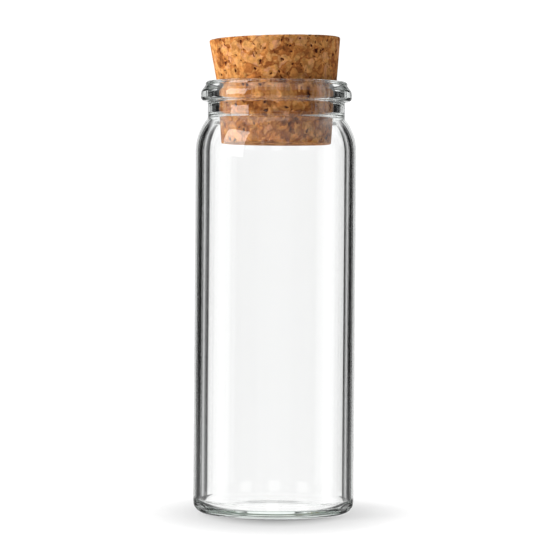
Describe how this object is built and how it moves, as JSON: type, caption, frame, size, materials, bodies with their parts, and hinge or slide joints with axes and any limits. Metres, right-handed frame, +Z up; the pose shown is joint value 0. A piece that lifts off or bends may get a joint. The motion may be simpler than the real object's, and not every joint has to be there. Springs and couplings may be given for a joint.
{
  "type": "corked glass vial",
  "caption": "Clear glass tube vial with a round shoulder, short neck and beaded lip, closed by a tapered agglomerated cork stopper that pulls out of the mouth.",
  "frame": {"origin": "on the tube's axis, in the plane that the foot stands on", "axes": "+Z up the tube's axis towards the cork; the cork's head leans towards -X; +Y away from the front"},
  "size_m": [0.03, 0.03, 0.0889],
  "materials": {
    "clear_glass": "polished",
    "agglomerated_cork": "matte"
  },
  "bodies": {
    "vial": {"glass_vial": "clear_glass"},
    "cork": {"cork_stopper": "agglomerated_cork"}
  },
  "joints": [
    {"name": "cork_pull", "type": "slide", "parent": "vial", "child": "cork", "axis": [0, 0, 1], "range_m": [0, 0.04]}
  ]
}
